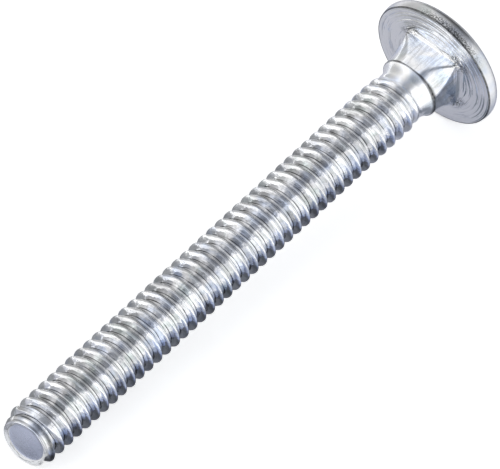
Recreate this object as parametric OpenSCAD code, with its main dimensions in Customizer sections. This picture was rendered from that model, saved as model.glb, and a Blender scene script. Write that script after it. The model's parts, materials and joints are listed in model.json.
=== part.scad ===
// Round-head square-neck carriage bolt, 1/4 inch by 2 3/8 inch with a full
// coarse thread, cold headed and rolled from one piece of steel wire.
// Millimetres. The bolt is drawn on its own axis, head up, with the flat
// underside of the head at z = 0, and is then laid down as it rests on a
// table: on the edge of its head and on its last full thread.

/* [Head] */
// Diameter of the head
head_d = 14.5; // [12.5:0.1:20]
// Height of the head from its flat underside to the top of the dome
head_h = 3.6; // [3.2:0.1:6]
// Radius of the sphere that the dome is part of
dome_r = 12.4; // [11:0.1:30]
// Radius that blends the dome into the rim
rim_round = 1; // [0.2:0.05:1.1]
// Bevel on the edge between the underside and the rim
seat_bevel = 0.15; // [0.05:0.05:0.4]

/* [Square neck] */
// Width of the square across its flats
neck_w = 6.3; // [5.9:0.05:6.7]
// Length of the square from the underside of the head
neck_l = 3.7; // [2.5:0.1:6]
// Diameter of the round that the corners run out into
neck_round_d = 6.76; // [6.7:0.02:7.2]
// Length at the shank end over which the neck stays that round
neck_round_l = 0.3; // [0.1:0.1:1]
// Radius of the hollow by which the corners rise out of the round
corner_hollow_r = 4.2; // [2:0.1:8]
// Height of the slope at the root of the square, where it meets the head
root_h = 0.35; // [0.1:0.05:0.5]
// Width of that slope across the middle of each flat
root_w = 0.62; // [0.2:0.02:0.8]
// Turn of the square about the axis
neck_turn = 4; // [0:1:89]

/* [Collar] */
// Length of the flared collar between the neck and the thread
collar_l = 1.2; // [1:0.1:3]
// Diameter of the plain wire that the thread is rolled on
blank_d = 5.6; // [5.3:0.05:5.8]

/* [Thread] */
// Length from the underside of the head to the middle of the end
length = 59.75; // [30:0.25:80]
// Outer diameter of the thread
thread_d = 6.2; // [5.95:0.05:6.35]
// Distance from one thread to the next
pitch = 1.27; // [1:0.01:1.6]
// Depth of the thread
thread_depth = 0.75; // [0.4:0.01:0.78]
// Width of the flat on the crest
crest_w = 0.17; // [0.1:0.01:0.2]
// Angle between the two flanks
flank_angle = 60; // [50:1:60]
// Length over which the thread dies out at the collar
run_out = 1.9; // [1:0.1:4]
// Turn of the thread about the axis
thread_turn = 61; // [0:1:359]
// Flat facets in each turn of the thread
turn_steps = 24; // [12:2:26]

/* [Point] */
// Diameter of the lip round the end
lip_d = 5.24; // [4.8:0.02:5.6]
// Rounding of the lip
lip_round = 0.2; // [0.1:0.05:0.3]
// Diameter of the flat inside the lip
cup_d = 3.7; // [3:0.1:4.2]
// Depth of the flat below the lip
cup_depth = 0.13; // [0.05:0.01:0.3]
// Length from the end in which the chamfer reaches the full thread
point_l = 1.25; // [0.8:0.05:2]
// Angle by which the end is sheared out of square
point_skew = 8; // [0:0.5:9]
// Direction in which the sheared end faces
point_turn = 210; // [0:1:359]
// Distance of the point's middle from the bolt's axis
point_shift = 0.35; // [0:0.05:0.4]
// Direction of that distance
shift_turn = 12; // [0:1:359]

/* [Hidden] */
$fn = 96;
zinc = [0.78, 0.80, 0.84];

head_r = head_d / 2;
blank_r = blank_d / 2;
thread_r = thread_d / 2;
neck_round_r = neck_round_d / 2;
corner_r = neck_w / sqrt(2);
// The slope at the root reaches this far past the corners.
root_clear = 0.1;
shank_top = neck_l + collar_l;

// The rim's rounding touches the rim's wall and the inside of the dome.
dome_z = head_h - dome_r;
round_r = head_r - rim_round;
round_z = dome_z + sqrt((dome_r - rim_round) ^ 2 - round_r ^ 2);
touch = dome_r / (dome_r - rim_round);

// The corners' hollow is tangent to the round of the neck.
hollow_x = neck_round_r + corner_hollow_r;
hollow_z = neck_l - neck_round_l;

// The collar's hollow is tangent to the plain wire where the thread starts.
collar_rise = neck_round_r - blank_r;
collar_hollow_r = (collar_l ^ 2 + collar_rise ^ 2) / (2 * collar_rise);

// The thread's facets start inside the collar, by this much in radius.
blank_seam = 0.06;
flank_w = thread_depth * tan(flank_angle / 2);
// Height and depth of the corners of one thread, from the tip's side up
thread_form = [
    [-crest_w / 2, 0],
    [crest_w / 2, 0],
    [crest_w / 2 + flank_w, 1],
    [pitch - crest_w / 2 - flank_w, 1]
];
form_n = len(thread_form);
// Turns of the helix past the end, where they are cut off, and inside the collar
turns_past = 1.5;
turns_buried = 1.2;
helix_z = -pitch * ceil(length / pitch + turns_past);
helix_turns = floor((-shank_top + turns_buried * pitch - helix_z) / pitch);
helix_steps = helix_turns * turn_steps;

// The chamfer leans with the end, and is past the full thread at this height.
lip_r = lip_d / 2;
chamfer_slope = (thread_r - lip_r) / (point_l - lip_round);
lean = thread_r * tan(point_skew);
clear_h = point_l + point_shift / chamfer_slope + lean + lip_round;
point_top = clear_h + 2 * lean + lip_round;

// Lying down, the bolt bears on its rim and on its last full thread.
rest_span = length - point_l + seat_bevel;
rest_tilt = atan((head_r - thread_r) / rest_span);

// Outline of the head: flat underside, bevel, rim and dome
module head_outline() {
    polygon([
        [0, 0],
        [head_r - seat_bevel, 0],
        [head_r, seat_bevel],
        [head_r, round_z],
        [0, round_z]
    ]);
    translate([round_r, round_z]) circle(rim_round);
    intersection() {
        translate([0, dome_z]) circle(dome_r, $fn = 360);
        polygon([
            [0, 0],
            [round_r, 0],
            [round_r, round_z],
            [round_r * touch, dome_z + (round_z - dome_z) * touch],
            [round_r * touch, head_h],
            [0, head_h]
        ]);
    }
}

module head() {
    rotate_extrude() intersection() {
        head_outline();
        square([head_d, head_h * 2]);
    }
}

// Round that limits the square's corners, narrow at the shank's end
module corner_limit() {
    rotate_extrude() difference() {
        translate([0, -neck_l]) square([neck_w, neck_l]);
        translate([hollow_x, -hollow_z]) circle(corner_hollow_r);
        translate([neck_round_r, -neck_l - 1]) square([neck_w, neck_round_l + 1]);
    }
}

module square_neck() {
    rotate([0, 0, neck_turn]) {
        intersection() {
            translate([-neck_w / 2, -neck_w / 2, -neck_l]) cube([neck_w, neck_w, neck_l]);
            corner_limit();
        }
        translate([0, 0, -root_h]) root_slope();
    }
}

// Slope round the root of the square, which all but dies out at the corners
module root_slope() {
    intersection() {
        rotate([0, 0, 45]) cylinder(h = root_h, r1 = corner_r, r2 = corner_r + root_w * sqrt(2), $fn = 4);
        cylinder(h = root_h, r = corner_r + root_clear);
    }
}

// Flare from the neck's round down to the plain wire
module collar() {
    rotate_extrude() difference() {
        translate([0, -shank_top]) square([neck_round_r, collar_l]);
        translate([blank_r + collar_hollow_r, -shank_top]) circle(collar_hollow_r);
    }
}

// How much of the thread's form is left at height z: none inside the collar
function formed(z) = max(0, min(1, (-z - shank_top) / run_out));

// Radius of the thread's surface at height z, for a depth from 0 to 1
function surface_r(z, depth) =
    let (plain = blank_r - blank_seam, full = thread_r - thread_depth * depth)
    plain + (full - plain) * formed(z);

// A corner of the thread's form after a number of steps up the helix
function helix_point(step, corner) =
    let (
        form = thread_form[corner],
        z = helix_z + pitch * step / turn_steps + form[0],
        angle = 360 * step / turn_steps,
        r = surface_r(z, form[1])
    )
    [r * cos(angle), r * sin(angle), z];

// Number of the helix point; the corner past the last is the next turn's first.
function point_no(step, corner) =
    (step + turn_steps * floor(corner / form_n)) * form_n + corner % form_n;

// Solid screw thread, with the ends closed to the axis
module helix() {
    last = helix_steps;
    points = [for (step = [0 : last + turn_steps]) for (corner = [0 : form_n - 1]) helix_point(step, corner)];
    foot = len(points);
    top = foot + 1;
    sides = [
        for (step = [0 : last - 1]) for (corner = [0 : form_n - 1])
            [
                point_no(step, corner),
                point_no(step, corner + 1),
                point_no(step + 1, corner + 1),
                point_no(step + 1, corner)
            ]
    ];
    foot_turn = [for (step = [0 : turn_steps - 1]) [foot, point_no(step, 0), point_no(step + 1, 0)]];
    foot_step = [for (corner = [0 : form_n - 1]) [foot, point_no(0, corner + 1), point_no(0, corner)]];
    top_turn = [for (step = [last : last + turn_steps - 1]) [top, point_no(step + 1, 0), point_no(step, 0)]];
    top_step = [for (corner = [0 : form_n - 1]) [top, point_no(last, corner), point_no(last, corner + 1)]];
    ends = [[0, 0, helix_z], [0, 0, points[point_no(last, 0)][2]]];
    polyhedron(concat(points, ends), concat(sides, foot_turn, foot_step, top_turn, top_step), convexity = 10);
}

// Outline of the point: cup, rounded lip and chamfer
module point_outline() {
    polygon([
        [0, cup_depth],
        [cup_d / 2, cup_depth],
        [lip_r - lip_round, 0],
        [lip_r - lip_round, lip_round],
        [lip_r, lip_round],
        [lip_r + chamfer_slope * (point_top - lip_round), point_top],
        [0, point_top]
    ]);
    translate([lip_r - lip_round, lip_round]) circle(lip_round);
}

// Outer form of the shank: the point at its end and a loose cylinder above it
module shank_limit() {
    shift = [point_shift * cos(shift_turn), point_shift * sin(shift_turn), -length];
    translate(shift) rotate([0, 0, point_turn]) rotate([0, -point_skew, 0]) rotate_extrude() point_outline();
    translate([0, 0, clear_h - length]) cylinder(h = length, r = thread_r + lip_round);
}

module thread() {
    intersection() {
        rotate([0, 0, thread_turn]) helix();
        shank_limit();
    }
}

module bolt() {
    color(zinc) rotate([0, 90 - rest_tilt, 0]) union() {
        head();
        square_neck();
        collar();
        thread();
    }
}

bolt();
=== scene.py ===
# %% [markdown]
# # A carriage bolt, from cold-formed steel to bright zinc
#
# A carriage bolt is one piece of steel wire. A header upsets its round head and square neck in
# two or three blows, and two dies then roll the thread on what is left of the wire. This file
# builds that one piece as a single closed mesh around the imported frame, gives it a bright zinc
# finish, and lights it on a white table. The scene is in metres, in the frame's own axes.

import json
import math

import bmesh
import bpy
import numpy as np
from mathutils import Matrix, Vector


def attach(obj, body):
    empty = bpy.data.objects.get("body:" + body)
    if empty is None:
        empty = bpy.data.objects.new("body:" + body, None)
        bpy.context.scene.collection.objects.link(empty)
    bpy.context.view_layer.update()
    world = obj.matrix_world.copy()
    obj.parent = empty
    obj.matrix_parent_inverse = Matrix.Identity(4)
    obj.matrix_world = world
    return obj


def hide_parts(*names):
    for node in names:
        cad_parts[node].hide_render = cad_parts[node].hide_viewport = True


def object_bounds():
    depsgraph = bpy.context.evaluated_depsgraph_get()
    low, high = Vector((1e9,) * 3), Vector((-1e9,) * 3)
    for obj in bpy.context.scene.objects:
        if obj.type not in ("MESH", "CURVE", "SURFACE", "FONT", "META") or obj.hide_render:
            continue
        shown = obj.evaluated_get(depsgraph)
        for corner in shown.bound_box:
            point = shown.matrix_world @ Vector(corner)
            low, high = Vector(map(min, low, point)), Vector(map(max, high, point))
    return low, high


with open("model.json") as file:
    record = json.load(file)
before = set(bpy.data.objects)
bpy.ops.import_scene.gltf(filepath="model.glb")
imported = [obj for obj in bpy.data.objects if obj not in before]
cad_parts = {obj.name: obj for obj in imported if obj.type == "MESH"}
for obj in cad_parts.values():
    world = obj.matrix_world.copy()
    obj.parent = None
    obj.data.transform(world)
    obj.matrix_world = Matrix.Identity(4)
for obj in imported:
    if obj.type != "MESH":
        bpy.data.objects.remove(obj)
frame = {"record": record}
cad_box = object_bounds()
print("the frame's box in millimetres:", [round(1000 * side, 2) for side in cad_box[1] - cad_box[0]])

# %% [markdown]
# ## Where the bolt lies
#
# The record's mounts say where the bolt is without any measuring: the seat is the middle of the
# head's flat underside, its axis points down the shank, and the thread's mount lies at the tip.
# Three directions at right angles follow from that. Every point of the bolt is then given in
# millimetres in the bolt's own frame, with the head up and the underside at height zero.

# %% Read the mounts
MM = 0.001
mounts = {mount["name"]: mount for mount in frame["record"]["mounts"]}
seat = Vector(mounts["seat"]["pos_m"])
axis = -Vector(mounts["seat"]["axis"]).normalized()
across = Vector((0, 1, 0))
down = across.cross(axis)
bolt_to_world = Matrix((down, across, axis)).transposed()

length = (Vector(mounts["thread"]["pos_m"]) - seat).length / MM
thread_r = mounts["thread"]["dims"]["r_mm"]
neck_l = mounts["square_neck"]["dims"]["length_mm"]
print("length under the head", round(length, 2), "thread radius", thread_r, "neck", neck_l)

# %% [markdown]
# ## The camera
#
# A long lens far away keeps the two ends of the bolt nearly the same size, as in product work.
# The camera looks down on the bolt from the side of its tip, so that the underside of the head
# and the square neck both show. It is aimed at a point half way down the shank, a little beside
# the axis, which frames the bolt without any shift of the lens.

# %% Camera
AZIMUTH = math.radians(-48.762)
ELEVATION = math.radians(48.096)
DISTANCE = 700 * MM
SENSOR = 36.0
LENS = 523.037
AIM_ALONG, AIM_RIGHT, AIM_UP = -30 * MM, 1.712 * MM, 1.596 * MM
CLIP_NEAR, CLIP_FAR = 0.05, 5

back = Vector((
    math.sin(AZIMUTH) * math.cos(ELEVATION),
    -math.cos(AZIMUTH) * math.cos(ELEVATION),
    math.sin(ELEVATION),
))
right = Vector((math.cos(AZIMUTH), math.sin(AZIMUTH), 0))
up = back.cross(right)
aim = seat + axis * AIM_ALONG + right * AIM_RIGHT + up * AIM_UP

camera = bpy.data.objects.new("camera", bpy.data.cameras.new("camera"))
bpy.context.collection.objects.link(camera)
bpy.context.scene.camera = camera
camera.data.sensor_width = SENSOR
camera.data.lens = LENS
camera.data.clip_start, camera.data.clip_end = CLIP_NEAR, CLIP_FAR
camera.location = aim + back * DISTANCE
camera.rotation_euler = (-back).to_track_quat("-Z", "Y").to_euler()
print("lens", camera.data.lens, "mm at", DISTANCE, "m")

# %% [markdown]
# ## One skin over the whole bolt
#
# The bolt is round about its axis almost everywhere, so its skin can be woven from rings: each
# ring is a height and a radius for every direction round the axis, and neighbouring rings are
# joined by faces. A boolean union of a screw, a cone and a box would give the same solid with
# ragged edges, while rings that follow the thread keep its crests clean. The first direction is
# that of a corner of the square, so that all four corners get a column of points.

# %% Directions round the axis
COLUMNS = 128
NECK_DEG = 4.0
CORNER_DEG = NECK_DEG + 45
turn = np.radians(CORNER_DEG + np.arange(COLUMNS) * 360 / COLUMNS)


def ring(height, radius):
    """One ring of points: a height and a radius for each direction round the axis."""
    return np.stack([np.broadcast_to(radius, turn.shape), np.broadcast_to(height, turn.shape)], axis=1)


def smooth_min(a, b, blend):
    """The smaller of two values, with the corner where they cross rounded over a width."""
    share = np.clip(0.5 + 0.5 * (b - a) / blend, 0, 1)
    return b + (a - b) * share - blend * share * (1 - share)


def ease(x):
    """Zero below 0, one above 1, and a smooth rise between."""
    x = np.clip(x, 0, 1)
    return x * x * (3 - 2 * x)


def turned_from(direction):
    """Angle of each column from a direction, between minus and plus half a turn."""
    return (turn - direction + math.pi) % (2 * math.pi) - math.pi


print(COLUMNS, "columns round the axis")

# %% [markdown]
# ### The thread
#
# A rolled coarse thread has flanks 60 degrees apart, a crest rounded by the flow of the metal
# and a root rounded by the die. Its outline over one pitch is two arcs joined by two flanks,
# which swell a little, as worn dies leave them. Rows of points keep their place on that outline
# and climb one pitch in each turn, so no row ever crosses a crest.

# %% Thread outline
PITCH = 1.27
THREAD_DEPTH = 0.75
FLANK = math.radians(30)
CREST_FLAT = 0.17
FLANK_SWELL = 0.07
THREAD_TURN = math.radians(61)
crest_round = (CREST_FLAT / 2) / math.tan(FLANK)
root_flat = PITCH - CREST_FLAT - 2 * THREAD_DEPTH * math.tan(FLANK)
root_round = (root_flat / 2) / math.tan(FLANK)
crest_half = crest_round * math.cos(FLANK)
root_half = root_round * math.cos(FLANK)
climb = PITCH * (turn - THREAD_TURN) / (2 * math.pi)


def arc_height(radius, off, reach):
    """Height over its centre of an arc, at a distance to the side that is held within a reach."""
    return np.sqrt(np.maximum(radius ** 2 - np.minimum(off, reach) ** 2, 0))


def thread_depth_at(phase):
    """Depth under the crest at a distance along the axis from the nearest crest."""
    off = np.abs((phase + PITCH / 2) % PITCH - PITCH / 2)
    to_root = PITCH / 2 - off
    on_crest = crest_round - arc_height(crest_round, off, crest_half)
    on_root = THREAD_DEPTH - root_round + arc_height(root_round, to_root, root_half)
    along_flank = (off - crest_half) / (PITCH / 2 - root_half - crest_half)
    swell = FLANK_SWELL * np.sin(math.pi * np.clip(along_flank, 0, 1))
    on_flank = crest_round * (1 - math.sin(FLANK)) + (off - crest_half) / math.tan(FLANK) - swell
    return np.where(off < crest_half, on_crest, np.where(to_root < root_half, on_root, on_flank))


# %% [markdown]
# Each arc gets four points and each flank two more, close to its ends, where the swell bends the
# most. More points on the arcs would make the mesh much heavier and hardly show, as a crest is
# only a sixth of a millimetre wide.

# %% Rows of points in one pitch
ARC_STEPS = 3
FLANK_SHARES = (0.22, 0.78)
arc_angles = np.linspace(-1, 1, ARC_STEPS + 1) * (math.pi / 2 - FLANK)
crest_points = crest_round * np.sin(arc_angles)
root_points = PITCH / 2 + root_round * np.sin(arc_angles)
flank_ends = ((crest_points[-1], root_points[0]), (root_points[-1], PITCH + crest_points[0]))
flank_points = [start + (end - start) * share for start, end in flank_ends for share in FLANK_SHARES]
thread_rows = sorted([*crest_points, *root_points, *flank_points])
print(len(thread_rows), "rows in each pitch")
print("radius of the crest", round(crest_round, 3), "and of the root", round(root_round, 3), "mm")

# %% [markdown]
# ### The sheared end
#
# The wire is sheared a little out of square, and rolling then drags its skin past its core. So
# the flat in the middle lies in a shallow cup, round it runs a lip, and behind the lip a chamfer
# lets the nut start. All three are one outline turned about an axis that leans and sits off the
# bolt's own, which is how the point of such a bolt comes off the machine.

# %% Outline of the end
POINT_SKEW = math.radians(8)
POINT_TURN = math.radians(210)
POINT_SHIFT = 0.35
SHIFT_TURN = math.radians(12)
CUP_R = 2.0
CUP_DEPTH = 0.24
LIP_R = 2.62
LIP_H = 0.2
CHAMFER_H = 1.25
off_centre = POINT_SHIFT * np.cos(turn - SHIFT_TURN)


def end_lean(radius):
    """How far the sheared end rises above square at a radius, in each direction."""
    from_middle = radius * np.cos(turn - POINT_TURN) - POINT_SHIFT * math.cos(SHIFT_TURN - POINT_TURN)
    return from_middle * math.tan(POINT_SKEW)


def point_limit(above):
    """Largest radius at a height above the lip's top: first the lip's round, then the chamfer."""
    lip = np.clip(above / LIP_H, 0, 1)
    on_lip = LIP_R - LIP_H * (1 - np.sqrt(1 - (1 - lip) ** 2))
    slope = (thread_r - LIP_R) / (CHAMFER_H - LIP_H)
    return on_lip + slope * np.maximum(above - LIP_H, 0) + off_centre


def cup_height(radius):
    """Height of the cup's surface over the lip's top: a flat, then a slope up to the lip."""
    return CUP_DEPTH * (1 - np.clip((radius - CUP_R) / (LIP_R - LIP_H - CUP_R), 0, 1))


print("cup", 2 * CUP_R, "mm wide inside a lip", 2 * LIP_R, "mm wide")

# %% [markdown]
# ### Nicks from the barrel
#
# Bolts are plated by the thousand in a turning barrel, where heads and crests knock each other.
# A few dozen small dents along the crests tell of that. They could be painted into a bump map,
# but a crest is seen against the light, so each one is a real dip in the outline. A dip is as
# deep as it says on a crest, and nothing at the root, where no other bolt can reach.

# %% Nicks on the crests
NICK_COUNT = 70
NICK_HEIGHTS = (-58, -7)
NICK_DEPTHS = (0.02, 0.08)
NICK_SIZES = (0.12, 0.40)
chance = np.random.default_rng(12)
nick_heights = chance.uniform(*NICK_HEIGHTS, NICK_COUNT)
nick_turns = chance.uniform(0, 2 * math.pi, NICK_COUNT)
nick_depths = chance.uniform(*NICK_DEPTHS, NICK_COUNT)
nick_sizes = chance.uniform(*NICK_SIZES, NICK_COUNT)


def nicks(height):
    """Depth of the nicks on the crests at a height, in each direction."""
    depth = 0
    for place, direction, deep, size in zip(nick_heights, nick_turns, nick_depths, nick_sizes):
        aside = thread_r * turned_from(direction)
        depth = depth + deep * np.exp(-((height - place) ** 2 + aside ** 2) / size ** 2)
    return depth


print(NICK_COUNT, "nicks, the deepest", round(float(nick_depths.max()), 3), "mm")

# %% [markdown]
# ### Where the thread dies out
#
# Under the head the rolled thread fades away over a pitch and a half, down to the plain wire. So
# a share of the thread's depth is kept at each height, and the point's outline cuts the rest.

# %% Radius of the shank
BLANK_R = 2.8
RUN_OUT_START, RUN_OUT_END = 4.9, 6.8
POINT_BLEND = 0.05


def shank_radius(height):
    """Radius of the threaded shank at a height, in each direction."""
    formed = ease((-height - RUN_OUT_START) / (RUN_OUT_END - RUN_OUT_START))
    threaded = thread_r - thread_depth_at(height - climb)
    threaded = threaded - nicks(height) * (threaded - thread_r + THREAD_DEPTH) / THREAD_DEPTH
    radius = BLANK_R + (threaded - BLANK_R) * formed
    above = height + length - end_lean(point_limit(height + length))
    return smooth_min(radius, point_limit(above), POINT_BLEND)


print("the thread fades from", RUN_OUT_END, "to", RUN_OUT_START, "mm under the head")

# %% [markdown]
# ### Weaving the rings
#
# The list of rings runs from the middle of the sheared end to the middle of the dome. The first
# ones follow the cup, the slope up to the lip, and the lip's own round. Over the next few
# millimetres level rings take over, and the lean of the end fades out of them.

# %% Rings of the sheared end
CUP_STEPS = 5
SLOPE_STEPS = 8
LIP_STEPS = 6
TIP_ZONE = 2.6
TIP_STEP = 0.045
lip_inner_r = LIP_R - LIP_H

rings = []
cup_radii = [
    *np.linspace(0, CUP_R, CUP_STEPS + 1),
    *np.linspace(CUP_R, lip_inner_r, SLOPE_STEPS + 1)[1:],
]
for radius in cup_radii:
    shifted = radius + off_centre * radius / lip_inner_r
    rings.append(ring(-length + cup_height(radius) + end_lean(shifted), shifted))
for bend in np.linspace(0, math.pi / 2, LIP_STEPS + 1)[1:]:
    above = LIP_H * (1 - math.cos(bend))
    radius = point_limit(above)
    height = -length + above + end_lean(radius)
    rings.append(ring(height, np.minimum(radius, shank_radius(height))))
for above in np.arange(LIP_H + TIP_STEP, TIP_ZONE, TIP_STEP):
    fade = 1 - ease((above - LIP_H) / (TIP_ZONE - LIP_H - TIP_STEP))
    height = -length + above + fade * end_lean(thread_r)
    rings.append(ring(height, shank_radius(height)))
print("rings of the sheared end:", len(rings))

# %% [markdown]
# The thread's rows climb as they go round. They start and end outside the threaded length, by
# more than one climb, and where they reach past its two ends they are held at the last ring. The
# points that fall together there are merged afterwards.

# %% Rings of the thread
thread_low, thread_high = -length + TIP_ZONE, -RUN_OUT_START
first_turn = math.floor(thread_low / PITCH) - 2
last_turn = math.ceil(thread_high / PITCH) + 1
thread_first_row = len(rings)
for turn_no in range(first_turn, last_turn):
    for along in thread_rows:
        height = np.clip(turn_no * PITCH + along + climb, thread_low, thread_high)
        rings.append(ring(height, shank_radius(height)))
thread_last_row = len(rings)
print("rings up to the collar:", len(rings))

# %% [markdown]
# ### The collar
#
# The header's die leaves a flared collar over the plain wire. Its hollow is one arc that is
# tangent to the wire. Where the two halves of the die meet, a spot of flash is squeezed out.

# %% Rings of the collar
COLLAR_R = 3.38
COLLAR_STEPS = 14
FLASH_TURN = math.radians(299)
FLASH_WIDTH = math.radians(7)
FLASH_H = 0.14
collar_l, collar_rise = RUN_OUT_START - neck_l, COLLAR_R - BLANK_R
flare_r = (collar_l ** 2 + collar_rise ** 2) / (2 * collar_rise)


def collar_radius(below):
    """Concave flare from the plain wire to the rim of the collar, with a spot of flash."""
    flare = BLANK_R + flare_r - math.sqrt(flare_r ** 2 - (RUN_OUT_START - below) ** 2)
    flash = FLASH_H * np.exp(-(turned_from(FLASH_TURN) / FLASH_WIDTH) ** 2)
    return flare + flash * math.sin(math.pi * (RUN_OUT_START - below) / collar_l)


for below in np.linspace(RUN_OUT_START, neck_l, COLLAR_STEPS + 1)[1:]:
    rings.append(ring(-below, collar_radius(below)))
print("rings up to the square:", len(rings), "hollow of the collar", round(flare_r, 2), "mm")

# %% [markdown]
# ### The square neck
#
# The square keeps the bolt from turning in wood. Its corners are full only at the head, and run
# out into a round towards the shank, through a hollow. The flats end a hair inside the collar,
# which shows as a thin step.

# %% Rings of the square neck
NECK_HALF = 3.15
CORNER_HOLLOW = 4.2
CORNER_FOOT = 0.3
CORNER_BLEND = 0.08
NECK_STEP = 0.07
STEP_PROUD, STEP_H = 0.01, 0.03
ROOT_H = 0.35
from_flat = (turn - math.radians(NECK_DEG) + math.pi / 4) % (math.pi / 2) - math.pi / 4


def neck_radius(below):
    """Outline of the square at a distance below the head: its corners run out into a round."""
    rise = np.maximum(neck_l - CORNER_FOOT - below, 0)
    corner_limit = COLLAR_R + CORNER_HOLLOW - math.sqrt(CORNER_HOLLOW ** 2 - rise ** 2)
    return smooth_min(NECK_HALF / np.cos(from_flat), corner_limit, CORNER_BLEND)


rings.append(ring(-neck_l + STEP_H, COLLAR_R + STEP_PROUD))
for below in np.arange(neck_l - 2 * STEP_H, ROOT_H, -NECK_STEP):
    rings.append(ring(-below, neck_radius(below)))
print("rings up to the root of the square:", len(rings))

# %% [markdown]
# ### The root of the square
#
# A small sloping fillet joins the square to the underside of the head. At the four corners the
# blow of the header squeezes out a little ragged metal, so each ring there gets a burr of random
# height that dies out over half a millimetre.

# %% Rings of the root
ROOT_W = 0.62
ROOT_BLEND = 0.15
ROOT_LEAST_W = 0.04
ROOT_SAG = 0.04
ROOT_STEPS = 6
BURR_H = 0.30
BURR_W = 0.6
corner_r = NECK_HALF * math.sqrt(2)
neck_top = neck_radius(ROOT_H)
root_edge = smooth_min((NECK_HALF + ROOT_W) / np.cos(from_flat), corner_r, ROOT_BLEND)
root_edge = np.maximum(root_edge, neck_top + ROOT_LEAST_W)


def burr(radius):
    """Height of the ragged metal squeezed out at the square's corners."""
    from_corner = (math.pi / 4 - np.abs(from_flat)) * radius
    close = np.exp(-(from_corner / BURR_W) ** 2 - ((radius - corner_r) / BURR_W) ** 2)
    return close * BURR_H * chance.uniform(0, 1, COLUMNS)


for share in np.linspace(0, 1, ROOT_STEPS + 1):
    sag = ROOT_SAG * math.sin(math.pi * share)
    radius = neck_top + (root_edge - neck_top) * share - sag
    rings.append(ring(-ROOT_H * (1 - share) + sag - burr(radius), radius))
print("rings up to the underside:", len(rings))

# %% [markdown]
# ### The underside
#
# The face of the header's die was turned on a lathe, and it prints its rings into the underside.
# Two waves of different pitch, added and cut off below, make ridges of uneven height. They fade
# out at the square and at the bevel that ends the flat.

# %% Rings of the underside
SEAT_R = 7.1
UNDER_STEPS = 60
RIDGE_H = 0.026
RIDGE_PITCH = 0.42
FINE_PITCH = RIDGE_PITCH * 0.63
FINE_SHARE = 0.6
FINE_OFFSET = 1
FADE_IN, FADE_OUT, BURR_FADE = 6, 12, 30

for share in np.linspace(0, 1, UNDER_STEPS + 1)[1:]:
    radius = root_edge + (SEAT_R - root_edge) * share
    fade = ease(share * FADE_IN) * ease((1 - share) * FADE_OUT)
    wave = np.sin(2 * math.pi * radius / RIDGE_PITCH)
    wave = wave + FINE_SHARE * np.sin(2 * math.pi * radius / FINE_PITCH + FINE_OFFSET)
    ridge = RIDGE_H * fade * np.maximum(wave, -1)
    rings.append(ring(-ridge - burr(radius) * ease(share * BURR_FADE), radius))
print("rings up to the rim:", len(rings))

# %% [markdown]
# ### Rim and dome
#
# A small bevel ends the underside, and the rim above it bulges a little. The rim's rounding then
# touches both the rim's wall and the dome, which is part of a sphere, so each arc starts at the
# angle where the one before it ends.

# %% Rings of the rim and the dome
HEAD_R = 7.243
HEAD_H = 3.6
DOME_R = 12.4
RIM_ROUND = 1.0
RIM_BULGE = 0.07
SEAT_BEVEL = 0.15
BEVEL_MIDDLE = (SEAT_BEVEL / 3, SEAT_R + SEAT_BEVEL * 0.4)
WALL_STEPS = 4
RIM_STEPS = 8
DOME_STEPS = 26

rings.append(ring(*BEVEL_MIDDLE))
rings.append(ring(SEAT_BEVEL, HEAD_R - RIM_BULGE))
dome_z = HEAD_H - DOME_R
round_r = HEAD_R - RIM_ROUND
round_z = dome_z + math.sqrt((DOME_R - RIM_ROUND) ** 2 - round_r ** 2)
meet = math.atan2(round_z - dome_z, round_r)
for share in np.linspace(0, 1, WALL_STEPS + 1)[1:]:
    rings.append(ring(SEAT_BEVEL + (round_z - SEAT_BEVEL) * share, HEAD_R - RIM_BULGE * (1 - share) ** 2))
for bend in np.linspace(0, meet, RIM_STEPS + 1)[1:]:
    rings.append(ring(round_z + RIM_ROUND * math.sin(bend), round_r + RIM_ROUND * math.cos(bend)))
for bend in np.linspace(meet, math.pi / 2, DOME_STEPS + 1)[1:]:
    rings.append(ring(dome_z + DOME_R * math.sin(bend), DOME_R * math.cos(bend)))
print("rings in all:", len(rings))

# %% [markdown]
# ### From rings to a closed mesh
#
# Each face joins two neighbouring rings over one column. On the thread the last column doesn't
# close on its own ring, but on the one that is a full pitch further up, which is what makes the
# rows into one long helix.


# %% Join the rings into faces
def woven_faces(ring_count, first_thread_row, last_thread_row, rows_per_turn):
    """Faces between neighbouring rings. On the thread, a full turn leads to the next pitch."""
    faces = []
    for row in range(ring_count - 1):
        threaded = first_thread_row <= row < last_thread_row - 1
        for column in range(COLUMNS):
            following = (column + 1) % COLUMNS
            shift = rows_per_turn if threaded and following == 0 else 0
            if shift and row + 1 + shift >= last_thread_row:
                continue
            low, high = row * COLUMNS, (row + 1) * COLUMNS
            lift = shift * COLUMNS
            faces.append((low + column, low + lift + following, high + lift + following, high + column))
    return faces


stacked = np.concatenate(rings)
angles = np.tile(turn, len(rings))
points = np.stack([stacked[:, 0] * np.cos(angles), stacked[:, 0] * np.sin(angles), stacked[:, 1]], axis=1)
world_points = points @ np.array(bolt_to_world).T * MM + np.array(seat)
faces = woven_faces(len(rings), thread_first_row, thread_last_row, len(thread_rows))

mesh = bpy.data.meshes.new("carriage_bolt")
mesh.from_pydata(world_points.tolist(), [], faces)
bolt = bpy.data.objects.new("carriage_bolt", mesh)
bpy.context.collection.objects.link(bolt)
print(len(world_points), "points,", len(faces), "faces")

# %% [markdown]
# The ends of the thread's rows and the two poles fall together in many points. Merging them, and
# dropping the faces that shrink to a line, leaves a closed skin. Its volume is a good test: for
# steel it gives the weight of the bolt.

# %% Close the skin
MERGE_DISTANCE = 4e-7
TINY_EDGE = 1e-7
STEEL_DENSITY = 7.85e-3

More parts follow.
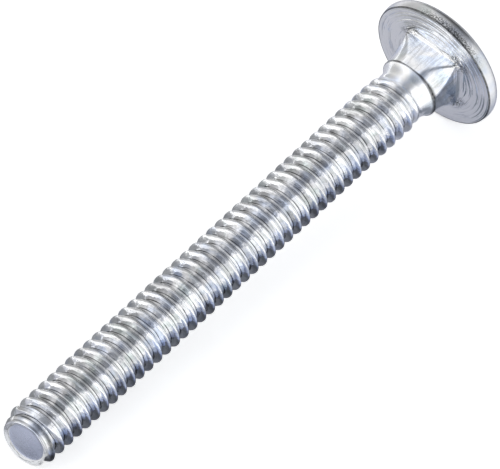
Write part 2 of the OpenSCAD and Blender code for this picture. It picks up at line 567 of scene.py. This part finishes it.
skin = bmesh.new()
skin.from_mesh(mesh)
bmesh.ops.remove_doubles(skin, verts=skin.verts, dist=MERGE_DISTANCE)
bmesh.ops.dissolve_degenerate(skin, edges=skin.edges, dist=TINY_EDGE)
bmesh.ops.recalc_face_normals(skin, faces=skin.faces)
open_edges = sum(len(edge.link_faces) != 2 for edge in skin.edges)
print("open edges:", open_edges, "triangles:", sum(len(face.verts) - 2 for face in skin.faces))
volume = skin.calc_volume() / MM ** 3
print("volume", round(volume, 1), "mm3, weight", round(volume * STEEL_DENSITY, 1), "g")
skin.to_mesh(mesh)
skin.free()
mesh.shade_smooth()

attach(bolt, "root")
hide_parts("bolt")

# %% [markdown]
# ## Shader maths as plain expressions
#
# A wire is the output of a shader node. Sums, products and comparisons of wires add the nodes
# that work them out, so a finish reads like a formula. Numbers go through Math nodes, colours
# through Mix and Vector Math, since a Math node would turn a colour grey.


# %% Sockets and ramps
def plug(socket, value):
    """Links a wire to a socket, or sets the socket to a value."""
    if isinstance(value, Wire):
        socket.id_data.links.new(value.socket, socket)
    else:
        socket.default_value = value


def set_stops(ramp, stops):
    """Gives a colour ramp its stops, in order."""
    while len(ramp.elements) < len(stops):
        ramp.elements.new(1.0)
    for element, (place, colour) in zip(ramp.elements, stops):
        element.position = place
        element.color = (*colour, 1)


# %% Wires
# The Mix node numbers its sockets: the factor, its two colours, and the colour that comes out.
MIX_FACTOR, MIX_FIRST, MIX_SECOND, MIX_RESULT = 0, 6, 7, 2


class Wire:
    """An output of a shader node, with arithmetic that adds the nodes for it."""

    def __init__(self, socket):
        self.socket = socket
        self.tree = socket.id_data

    @staticmethod
    def node(tree, kind, settings=None, inputs=None, output=0):
        """Adds a node of a kind, makes its settings, fills its sockets, and gives one output."""
        node = tree.nodes.new(kind)
        for name, value in (settings or {}).items():
            if name == "stops":
                set_stops(node.color_ramp, value)
            else:
                setattr(node, name, value)
        for name, value in (inputs or {}).items():
            plug(node.inputs[name], value)
        return Wire(node.outputs[output])

    def maths(self, operation, *others):
        """This wire and others through a Math node."""
        values = dict(enumerate([self, *others]))
        return Wire.node(self.tree, "ShaderNodeMath", {"operation": operation}, values)

    def vector_maths(self, operation, *others, output="Vector"):
        """This wire and others through a Vector Math node."""
        values = dict(enumerate([self, *others]))
        return Wire.node(self.tree, "ShaderNodeVectorMath", {"operation": operation}, values, output)

    def __add__(self, other):
        return self.maths("ADD", other)

    def __radd__(self, other):
        return self.maths("ADD", other)

    def __sub__(self, other):
        return self.maths("SUBTRACT", other)

    def __rsub__(self, other):
        return Wire.node(self.tree, "ShaderNodeMath", {"operation": "SUBTRACT"}, {0: other, 1: self})

    def __mul__(self, other):
        return self.maths("MULTIPLY", other)

    def __rmul__(self, other):
        return self.maths("MULTIPLY", other)

    def __truediv__(self, other):
        return self.maths("DIVIDE", other)

    def __rtruediv__(self, other):
        return Wire.node(self.tree, "ShaderNodeMath", {"operation": "DIVIDE"}, {0: other, 1: self})

    def dot(self, direction):
        """How far this vector reaches in a direction."""
        return self.vector_maths("DOT_PRODUCT", tuple(direction), output="Value")

    def rises(self, low, high):
        """A smooth rise from 0 at low to 1 at high."""
        settings = {"interpolation_type": "SMOOTHSTEP"}
        inputs = {"Value": self, "From Min": low, "From Max": high}
        return Wire.node(self.tree, "ShaderNodeMapRange", settings, inputs)

    def falls(self, low, high):
        """A smooth fall from 1 at low to 0 at high."""
        return 1 - self.rises(low, high)

    def near(self, middle, reach):
        """One at a value, down to 0 at a distance from it."""
        return (self - middle).maths("ABSOLUTE").falls(0, reach)

    def mix(self, first, second):
        """The first colour where this wire is 0, the second where it is 1."""
        inputs = {MIX_FACTOR: self, MIX_FIRST: first, MIX_SECOND: second}
        return Wire.node(self.tree, "ShaderNodeMix", {"data_type": "RGBA"}, inputs, MIX_RESULT)

    def ramp(self, stops):
        """A colour that follows stops, each a place from 0 to 1 and a colour."""
        return Wire.node(self.tree, "ShaderNodeValToRGB", {"stops": stops}, {"Fac": self})

    def scales(self, colour):
        """A colour made darker or lighter by this wire."""
        inputs = {"Vector": colour, "Scale": self}
        return Wire.node(self.tree, "ShaderNodeVectorMath", {"operation": "SCALE"}, inputs)


# %% Noise
def noise(x, y, z, detail=2.0, roughness=0.5):
    """Even noise from 0 to 1 over three wires or values, one cell to each unit."""
    tree = next(part.tree for part in (x, y, z) if isinstance(part, Wire))
    vector = Wire.node(tree, "ShaderNodeCombineXYZ", None, {0: x, 1: y, 2: z})
    inputs = {"Vector": vector, "Scale": 1.0, "Detail": detail, "Roughness": roughness}
    return Wire.node(tree, "ShaderNodeTexNoise", None, inputs, "Fac")


# %% [markdown]
# ## Bright zinc
#
# The bolt is plated in a barrel of zinc solution. The layer is a few thousandths of a millimetre
# thick, so it shows all that the dies left on the steel, and adds a cool tint that drifts from
# blue to grey. Everything in the finish is measured in the bolt's own frame, so that it stays on
# the bolt wherever the bolt lies: a height and a radius, and an angle round the axis.

# %% Places on the bolt
zinc = bpy.data.materials.new("bright_zinc")
zinc.use_nodes = True
mesh.materials.append(zinc)
metal = zinc.node_tree.nodes["Principled BSDF"]
place = Wire.node(zinc.node_tree, "ShaderNodeTexCoord", output="Object")
place = place.vector_maths("SUBTRACT", tuple(seat)).vector_maths("MULTIPLY", (1 / MM, 1 / MM, 1 / MM))
height = place.dot(axis)
east = place.dot(down)
north = place.dot(across)
radius = (east * east + north * north).maths("SQRT")
angle = north.maths("ARCTAN2", east)


def toward(degrees, low, high):
    """A mask of one side of the bolt, which rises between two cosines from its middle."""
    return (angle - math.radians(degrees)).maths("COSINE").rises(low, high)


def spots(size, detail=2.0, roughness=0.5):
    """Noise through the solid bolt, with so many cells to a millimetre."""
    return noise(height * size, east * size, north * size, detail, roughness)


# %% [markdown]
# ### Places on the sheared end
#
# The end is measured about its own leaning axis: a height above the lip's top, and a distance
# from the middle. The lip is torn on one side, where the shears broke out of the wire. The first
# groove behind it is painted darker on one side, as painted shade in the groove.

# %% Places on the sheared end
EDGE = 0.1
TORN_SIDE = 350
GROOVE_SIDE = 268
GROOVE_H = 0.62
GROOVE_REACH = 0.42
CUP_TOP = CUP_DEPTH + 0.06
end_east = east - POINT_SHIFT * math.cos(SHIFT_TURN)
end_north = north - POINT_SHIFT * math.sin(SHIFT_TURN)
end_rise = (end_east * math.cos(POINT_TURN) + end_north * math.sin(POINT_TURN)) * math.tan(POINT_SKEW)
above_end = height + length - end_rise
from_middle = (end_east * end_east + end_north * end_north).maths("SQRT")

past_cup = from_middle.rises(CUP_R, CUP_R + EDGE)
on_end = above_end.falls(CUP_TOP, CUP_TOP + EDGE) * (1 - past_cup)
on_lip = above_end.falls(LIP_H, LIP_H + EDGE) * past_cup
torn_lip = on_lip * toward(TORN_SIDE, -0.5, 0.5)
first_groove_shade = above_end.near(GROOVE_H, GROOVE_REACH) * toward(GROOVE_SIDE, 0.1, 0.8)
print("the lip is torn towards", TORN_SIDE, "degrees")

# %% [markdown]
# ### Places on the thread
#
# Two more coordinates follow the thread. One runs across it, from root to root with the crest at
# zero, and the other counts turns along it. On either side of the root a fine dark line of painted
# shade wanders a little, where the crevice between the threads lies in shadow. On one side of the
# bolt the roots are painted darker still, as painted shade. A seam runs along the crest where
# the metal flowed together.

# %% Places on the thread
SHADED_ROOT_SIDE = 135
LOW_SHADE_LINE, HIGH_SHADE_LINE = -0.36, 0.44
SHADE_LINE_REACH = 0.035
WANDER = 0.14
LIP_EDGE = 0.3
COLLAR_EDGE = 0.5
lead = height / PITCH - (angle - THREAD_TURN) / (2 * math.pi)
over_crest = lead - (lead + 0.5).maths("FLOOR")
along_thread = height / PITCH - over_crest
from_crest = over_crest.maths("ABSOLUTE")

past_lip = above_end.rises(LIP_H, LIP_H + LIP_EDGE)
on_thread = height.falls(-RUN_OUT_END, -RUN_OUT_START - COLLAR_EDGE) * past_lip
at_root = from_crest.rises(0.40, 0.43) * on_thread
wander = (noise(along_thread * 6.43, 0, 0) - 0.5) * WANDER
low_shade_line = over_crest.near(wander + LOW_SHADE_LINE, SHADE_LINE_REACH)
high_shade_line = over_crest.near(wander + HIGH_SHADE_LINE, SHADE_LINE_REACH)
root_shade_lines = (low_shade_line + high_shade_line) * on_thread
seam = over_crest.near(0.01, 0.03) * on_thread
shaded_roots = from_crest.rises(0.33, 0.42) * on_thread * toward(SHADED_ROOT_SIDE, 0.5, 0.95)
print("turns of thread:", round((length - RUN_OUT_START) / PITCH, 1))

# %% [markdown]
# ### Places on the collar, the neck and the head
#
# The rest of the surface falls into the collar, the square neck, the underside, and the rim with
# the dome. Shade is painted along two creases: along the bevel under the rim and along the step of
# the collar, where the painted shade is wider on the lower side.

# %% Places on the collar, the neck and the head
COLLAR_SHADE_SIDE = 285
SHADE_REACH, SHADE_GROWTH = 0.18, 0.32
ROOT_FOOT = -ROOT_H - 0.01
on_collar = height.rises(-RUN_OUT_START - COLLAR_EDGE, -RUN_OUT_START)
on_collar = on_collar * height.falls(-neck_l - EDGE, -neck_l)
on_neck = height.rises(-neck_l, -neck_l + EDGE) * height.falls(ROOT_FOOT, ROOT_FOOT + 0.06)
on_head = height.rises(ROOT_FOOT + 0.02, ROOT_FOOT + 0.08)
on_underside = on_head * height.falls(0.03, 0.08)
# Painted shade: the rim is painted darker, and darker still towards its outer round.
on_rim = height.rises(0.06, SEAT_BEVEL + 0.05)
outer_rim_shade = height.rises(0.6, 1.5)

shade_at_rim_bevel = radius.rises(SEAT_R - 0.12, SEAT_R - 0.02) * height.falls(0.1, 0.2) * on_head
collar_shade_reach = SHADE_REACH + toward(COLLAR_SHADE_SIDE, 0.1, 1.0) * SHADE_GROWTH
shade_at_collar = height.near(-neck_l + STEP_H, collar_shade_reach)
shade_at_collar = shade_at_collar * radius.rises(COLLAR_R - 0.28, COLLAR_R - 0.13)
print("nodes that place the finish:", len(zinc.node_tree.nodes))

# %% [markdown]
# ### Scuffs, and painted shade on the rim
#
# The burrs at the square's corners are dull and broken, and one side of the rim carries a patch
# of painted shade, a dark reflection painted on. Both are masks for a fine crumbly noise.

# %% Scuffs, and painted shade on the rim
RIM_SHADE_SIDE = 201
SCUFF_REACH = 1.1
at_corners = ((angle - math.radians(CORNER_DEG)) * 4).maths("COSINE").rises(0.0, 0.8)
scuffed = at_corners * radius.near(corner_r, SCUFF_REACH) * height.near(-0.1, SCUFF_REACH)
rim_shade_patch = toward(RIM_SHADE_SIDE, 0.75, 0.97) * height.falls(0.2, 1.1) * on_rim
print("scuffs reach", SCUFF_REACH, "mm round each corner, at a radius of", round(corner_r, 2), "mm")

# %% [markdown]
# ### Patterns
#
# All the patterns are noise in one of the three frames: through the solid bolt, along the thread
# and along the axis. The counts along the thread are not whole numbers, or the same noise would
# come back in every turn.

# %% Patterns
cloud = spots(1.3, 3.0, 0.6)
fuzz = spots(5, 3.0, 0.7)
crumbs = spots(8, 2.0, 0.7).rises(0.42, 0.58)
streaks = noise(over_crest * 15, along_thread * 2.63, 0, 3.0)
patchy = noise(along_thread * 8.37, over_crest * 3, 5.0, 2.0).rises(0.38, 0.52)
smudge = noise(along_thread * 4.31, over_crest * 1.4, 9.0, 3.0).falls(0.34, 0.60)
turned_rings = noise(radius * 5.5, east * 0.3, north * 0.3, 3.0, 0.7).falls(0.34, 0.52)
rubbed = noise(height * 0.6, east * 4.3, north * 4.3, 3.0).rises(0.40, 0.62)
torn = noise(from_middle * 8, end_east * 0.9, end_north * 0.9, 2.0, 0.7).rises(0.38, 0.50)
torn = torn * from_middle.falls(lip_inner_r, LIP_R + EDGE)
print("nodes with the patterns:", len(zinc.node_tree.nodes))

# %% [markdown]
# ### Tint
#
# Slow drifts of tint over a few millimetres run over the whole bolt. The flats of the neck are
# bluer towards the head, the sheared end shows raw grey under a thin layer, and the torn side of
# the lip is nearly white and no longer quite a mirror, because it is broken up.

# %% Tint of the zinc
DRIFT_SIZE = 0.45
BLUE_ZINC = (0.68, 0.79, 1.0, 1)
RAW_END = (0.80, 0.84, 0.97, 1)
TORN_METAL = (1.0, 1.0, 1.0, 1)
tint = spots(DRIFT_SIZE).ramp([
    (0.30, (0.74, 0.79, 0.90)),
    (0.44, (0.84, 0.85, 0.88)),
    (0.56, (0.88, 0.88, 0.89)),
    (0.70, (0.82, 0.86, 0.86)),
])
blued = noise(height * 0.5, east * 0.7, north * 0.7, 1.0).rises(0.36, 0.56)
blued = blued * on_neck * height.rises(-3.2, -1.4)
tint = (blued * 0.6).mix(tint, BLUE_ZINC)
tint = on_end.mix(tint, RAW_END)
tint = torn_lip.mix(tint, TORN_METAL)
plug(metal.inputs["Metallic"], 1 - torn_lip * 0.75)
print("one cell of the drift in millimetres:", round(1 / DRIFT_SIZE, 1))

# %% [markdown]
# ### Shade
#
# The tint is then made lighter or darker. A cloudy ground and the streaks of rolling come first.
# After them, each line says where a mark is and how much it darkens; a mark that lightens has a
# minus. Multiplying them keeps every mark visible where two of them cross.

# %% Shade of the zinc
shade = 0.959 + cloud * 0.286 * (1 - on_end) + (streaks - 0.5) * 0.612 * on_thread
marks = [
    (on_thread, smudge * 0.353),
    (at_root, 0.18 - fuzz * 0.45),
    # painted shade: fine dark lines beside each root, where the crevice lies in shadow
    (root_shade_lines, 0.25 + patchy * 0.72),
    (seam, patchy * 0.4),
    # painted shade: the thread roots on one side of the bolt are darker
    (shaded_roots, 0.4 + fuzz * 0.4),
    # painted shade in the first groove behind the lip
    (first_groove_shade, 0.5 + fuzz * 0.5),
    (on_lip, 0.5 - torn * 0.5),
    (on_collar, -0.05),
    # painted shade along the step of the collar, wider on the lower side
    (shade_at_collar, 0.5 + fuzz * 0.8),
    (on_neck, rubbed * 0.2),
    (scuffed, crumbs * 0.85),
    # painted light: the underside is lifted lighter against the shade under the head; the turned rings
    # darken it in lines
    (on_underside, turned_rings * 0.56 - 0.28),
    # painted shade along the bevel under the rim
    (shade_at_rim_bevel, 0.5 + fuzz * 0.7),
    # painted shade: the rim darker, most towards its outer round
    (on_rim, 0.18),
    (outer_rim_shade, fuzz * 0.75),
    # painted shade: a dark patch on one side of the rim, broken up by crumbs
    (rim_shade_patch, crumbs * 0.95),
]
for where, strength in marks:
    shade = shade * (1 - where * strength)
plug(metal.inputs["Base Color"], shade.scales(tint))
print(len(marks), "marks in the shade of the zinc")

# %% [markdown]
# ### Gloss
#
# The rolled thread is almost a mirror, burnished by the dies. The collar, the underside and the
# flats are a little duller, the rim is satin, and the sheared end is matt. Each line adds some
# roughness in its place.

# %% Roughness
gloss = 0.04 + cloud * 0.06 + (streaks - 0.5) * 0.06 * on_thread
dull_places = [
    (at_root, 0.30),
    (shaded_roots, 0.15),
    (on_collar, 0.16),
    (on_neck, 0.08),
    (on_underside, 0.06),
    (on_rim, 0.22),
    (on_end, 0.20),
    (on_lip, 0.10),
]
for where, roughness in dull_places:
    gloss = gloss + where * roughness
plug(metal.inputs["Roughness"], gloss)
print(len(dull_places), "places duller than the rest")

# %% [markdown]
# ### Relief
#
# Five kinds of fine relief, in millimetres: shallow dents all over and deeper ones on the thread,
# lines along the thread, lines down the flats, turned rings under the head, and a speckle that is
# strongest on the rim. They are too fine for points of their own, so they go into a bump.

# %% Relief
dents = spots(1.1)
rolled = noise(over_crest * 8, along_thread * 8.71, 0)
brushed = noise(height * 0.7, east * 5, north * 5)
turned = noise(radius * 6.5, east * 0.25, north * 0.25)
speckle = spots(11)
relief = [
    dents * (0.012 + on_thread * 0.065),
    rolled * on_thread * 0.010,
    brushed * on_neck * 0.003,
    turned * on_underside * 0.006,
    speckle * (0.0008 + on_thread * 0.002 + on_rim * 0.008 - on_end * 0.0008),
]
bump_inputs = {"Strength": 1.0, "Distance": MM, "Height": sum(relief[1:], relief[0])}
plug(metal.inputs["Normal"], Wire.node(zinc.node_tree, "ShaderNodeBump", None, bump_inputs, "Normal"))
print(len(relief), "kinds of relief,", len(zinc.node_tree.nodes), "nodes in the zinc")

# %% [markdown]
# ## The table
#
# The table is plain white card. What the camera and the metal see of it is lifted to white by a
# little light of its own, while the light that falls on the bolt stays as it is. A flag on the
# ray tells the two apart.

# %% Table
TABLE_REACH = 3.0
TABLE_COLOUR = (0.92, 0.92, 0.92, 1)
TABLE_LIFT = 0.56
BLACK, WHITE = (0, 0, 0, 1), (1, 1, 1, 1)
floor_z = cad_box[0].z


def flat_card(name, low_x, high_x, low_y, high_y, height):
    """A flat level card between two corners."""
    corners = [(low_x, low_y), (high_x, low_y), (high_x, high_y), (low_x, high_y)]
    card_mesh = bpy.data.meshes.new(name)
    card_mesh.from_pydata([(x, y, height) for x, y in corners], [], [(0, 1, 2, 3)])
    new_card = bpy.data.objects.new(name, card_mesh)
    bpy.context.collection.objects.link(new_card)
    return new_card


table = flat_card("table", -TABLE_REACH, TABLE_REACH, -TABLE_REACH, TABLE_REACH, floor_z)
white = bpy.data.materials.new("white_table")
white.use_nodes = True
table.data.materials.append(white)
paper = white.node_tree.nodes["Principled BSDF"]
seen = Wire.node(white.node_tree, "ShaderNodeLightPath", output="Is Camera Ray")
for ray in ("Is Glossy Ray", "Is Transmission Ray"):
    seen = seen.maths("MAXIMUM", Wire.node(white.node_tree, "ShaderNodeLightPath", output=ray))
plug(paper.inputs["Base Color"], TABLE_COLOUR)
plug(paper.inputs["Roughness"], 1.0)
plug(paper.inputs["Emission Color"], seen.mix(BLACK, WHITE))
plug(paper.inputs["Emission Strength"], TABLE_LIFT)
print("table at", round(floor_z / MM, 2), "mm")

# %% [markdown]
# ### A grey card under the bolt
#
# A grey card lies under the bolt, as a studio puts one beside bright metal to draw its lower
# edges: without it the lower side of every thread would fade into the white table. It is darkest
# along the near side, right under the bolt, where it is a painted shadow of the bolt for the metal
# to reflect. Only the metal sees it: it is hidden from the camera and casts nothing.

# %% Grey card
CARD_LOW_X, CARD_HIGH_X = -180, 120
CARD_LOW_Y, CARD_HIGH_Y = -17, 110
CARD_LIFT = 0.02
card = flat_card(
    "grey_card",
    CARD_LOW_X * MM,
    CARD_HIGH_X * MM,
    CARD_LOW_Y * MM,
    CARD_HIGH_Y * MM,
    floor_z + CARD_LIFT * MM,
)
card.visible_camera = False
card.visible_diffuse = False
card.visible_shadow = False
card.visible_transmission = False
grey = bpy.data.materials.new("grey_card")
grey.use_nodes = True
card.data.materials.append(grey)
felt = grey.node_tree.nodes["Principled BSDF"]
on_card = Wire.node(grey.node_tree, "ShaderNodeTexCoord", output="Object")
card_x = on_card.dot((1 / MM, 0, 0))
card_y = on_card.dot((0, 1 / MM, 0))
print("grey card", CARD_HIGH_X - CARD_LOW_X, "by", CARD_HIGH_Y - CARD_LOW_Y, "mm")

# %% [markdown]
# Across the bolt, the card goes from pale blue through nearly black to a middle grey, and each
# shade shows in its own part of the thread; the nearly black band under the bolt is painted shadow.
# It is pale under the head and past the tip, as painted light, so that the underside and the sheared
# end stay light, and it carries a patch of painted shadow beside the neck, where the lower flat of
# the square looks.

# %% Colours of the card
STRIPE_LOW, STRIPE_HIGH = -10, 16
STRIPE_STOPS = [
    (-9.5, (0.76, 0.83, 0.98)),
    (-7.0, (0.70, 0.79, 1.00)),
    (-5.8, (0.58, 0.65, 0.90)),
    (-4.9, (0.33, 0.37, 0.52)),
    (-4.1, (0.19, 0.20, 0.25)),
    (-3.3, (0.17, 0.18, 0.20)),
    (-2.3, (0.30, 0.31, 0.35)),
    (-1.0, (0.38, 0.39, 0.44)),
    (2.0, (0.50, 0.51, 0.54)),
    (7.0, (0.48, 0.49, 0.51)),
    (13.0, (0.46, 0.47, 0.48)),
]
PALE_UNDER_HEAD = (0.90, 0.91, 1.0, 1)
PALE_PAST_TIP = (0.80, 0.81, 0.88, 1)
SHADOW_BESIDE_NECK = (0.33, 0.36, 0.43, 1)
HEAD_EDGE = (-14, -5)
TIP_EDGE = (-63.5, -60)
NECK_LOW_X, NECK_HIGH_X = (-6, -4), (2, 4)
NECK_LOW_Y, NECK_HIGH_Y = (-8.4, -7.2), (-4.8, -3.8)


def stripe_share(y):
    """Place of a distance across the bolt on the stripe's ramp, from 0 to 1."""
    return (y - STRIPE_LOW) / (STRIPE_HIGH - STRIPE_LOW)


under_head = card_x.rises(*HEAD_EDGE)
past_tip = card_x.falls(*TIP_EDGE)
shadow_beside_neck = card_x.rises(*NECK_LOW_X) * card_x.falls(*NECK_HIGH_X)
shadow_beside_neck = shadow_beside_neck * card_y.rises(*NECK_LOW_Y) * card_y.falls(*NECK_HIGH_Y)
felt_colour = stripe_share(card_y).ramp([(stripe_share(y), colour) for y, colour in STRIPE_STOPS])
felt_colour = (under_head * 0.85).mix(felt_colour, PALE_UNDER_HEAD)
felt_colour = past_tip.mix(felt_colour, PALE_PAST_TIP)
felt_colour = shadow_beside_neck.mix(felt_colour, SHADOW_BESIDE_NECK)
plug(felt.inputs["Base Color"], felt_colour)
plug(felt.inputs["Roughness"], 0.9)
print(len(STRIPE_STOPS), "shades across the card")

# %% [markdown]
# The card fades out towards its own edges, so that no edge of it shows in the metal. On the far
# side it fades early beside the shank, and late under the head, which looks further over it.

# %% Edges of the card
FADE_X = 60
FADE_LOW_Y = 9
FADE_HIGH_Y = 20
FADE_SHANK_Y = (13, 48)
inside_x = card_x.rises(CARD_LOW_X, CARD_LOW_X + FADE_X) * card_x.falls(CARD_HIGH_X - FADE_X, CARD_HIGH_X)
far_head = card_y.falls(FADE_HIGH_Y, CARD_HIGH_Y) * under_head
far_shank = card_y.falls(*FADE_SHANK_Y) * (1 - under_head)
inside_y = card_y.rises(CARD_LOW_Y, CARD_LOW_Y + FADE_LOW_Y) * (far_head + far_shank)
plug(felt.inputs["Alpha"], inside_x * inside_y)
print(len(grey.node_tree.nodes), "nodes in the card")

# %% [markdown]
# ## A tent of light
#
# Bright metal shows what stands round it, so it is lit inside a white tent. The cloth is
# brightest on two sides and has a darker slit above the bolt, where the lens looks in. The slit
# lies along the bolt and draws the grey line that runs down the thread. The cloth's shade goes
# by a single direction at right angles to the slit, through a ramp.

# %% Cloth of the tent
SLIT_TURN = math.radians(-12)
PEAK = 1.35
PLAIN = (1, 1, 1)
COOL = (0.94, 0.98, 1.06)
GREENISH = (0.97, 1.0, 0.985)
lens_side = (back - axis * back.dot(axis)).normalized()
low_side = axis.cross(lens_side)
slit_normal = low_side * math.cos(SLIT_TURN) - lens_side * math.sin(SLIT_TURN)


def glow(strength, tint):
    """A stop's colour for a strength of light, as a share of the tent's brightest."""
    return tuple(strength / PEAK * part for part in tint)


CLOTH_STOPS = [
    (0.00, glow(0.50, PLAIN)),
    (0.07, glow(0.68, PLAIN)),
    (0.18, glow(1.10, PLAIN)),
    (0.29, glow(0.72, PLAIN)),
    (0.40, glow(0.43, COOL)),
    (0.58, glow(0.37, COOL)),
    (0.66, glow(0.60, COOL)),
    (0.74, glow(1.24, PLAIN)),
    (0.86, glow(1.14, GREENISH)),
    (1.00, glow(0.92, GREENISH)),
]
world = bpy.data.worlds.new("tent")
world.use_nodes = True
bpy.context.scene.world = world
tent = world.node_tree
direction = Wire.node(tent, "ShaderNodeTexCoord", output="Generated")
over_slit = direction.dot(slit_normal)
cloth = (over_slit * 0.5 + 0.5).ramp(CLOTH_STOPS)
print("slit across", [round(part, 2) for part in slit_normal])

# %% [markdown]
# The end walls differ too. The one past the head is darker on its lower side, which gives the
# rim and the upper flanks of the thread their shade. The one past the tip is brighter, most of
# all right opposite the sheared end. Round the lens the cloth is open and a little darker.

# %% Walls of the tent
END_WALL_DARK = 0.8
TIP_WALL_LIGHT = 0.3
LOW_TIP_LIGHT = 0.5
LENS_DARK = 0.3
LENS_WIDE, LENS_NARROW = math.radians(32), math.radians(18)
end_wall = direction.dot(axis).rises(0.55, 0.85) * over_slit.falls(0.0, 0.25)
tip_wall = direction.dot(-axis).rises(0.15, 0.60)
low_tip_wall = direction.dot(-axis).rises(0.93, 0.98)
lens_hole = direction.dot(back).rises(math.cos(LENS_WIDE), math.cos(LENS_NARROW))
brightness = (1 - end_wall * END_WALL_DARK) * (1 - lens_hole * LENS_DARK)
brightness = brightness * (1 + tip_wall * TIP_WALL_LIGHT + low_tip_wall * LOW_TIP_LIGHT)

backdrop = tent.nodes["Background"]
plug(backdrop.inputs["Color"], brightness.scales(cloth))
plug(backdrop.inputs["Strength"], PEAK)
print("brightest cloth", PEAK)

# %% [markdown]
# The camera itself never sees the tent: for its rays the world is plain white, the same as the
# table.

# %% Backdrop
seen_backdrop = Wire.node(tent, "ShaderNodeLightPath", output="Is Camera Ray")
white_backdrop = Wire.node(tent, "ShaderNodeBackground", None, {"Color": WHITE, "Strength": 1.0})
both_inputs = {0: seen_backdrop, 1: Wire(backdrop.outputs["Background"]), 2: white_backdrop}
both = Wire.node(tent, "ShaderNodeMixShader", None, both_inputs)
plug(tent.nodes["World Output"].inputs["Surface"], both)
bpy.context.scene.view_settings.view_transform = "Standard"
print(len(tent.nodes), "nodes in the tent")
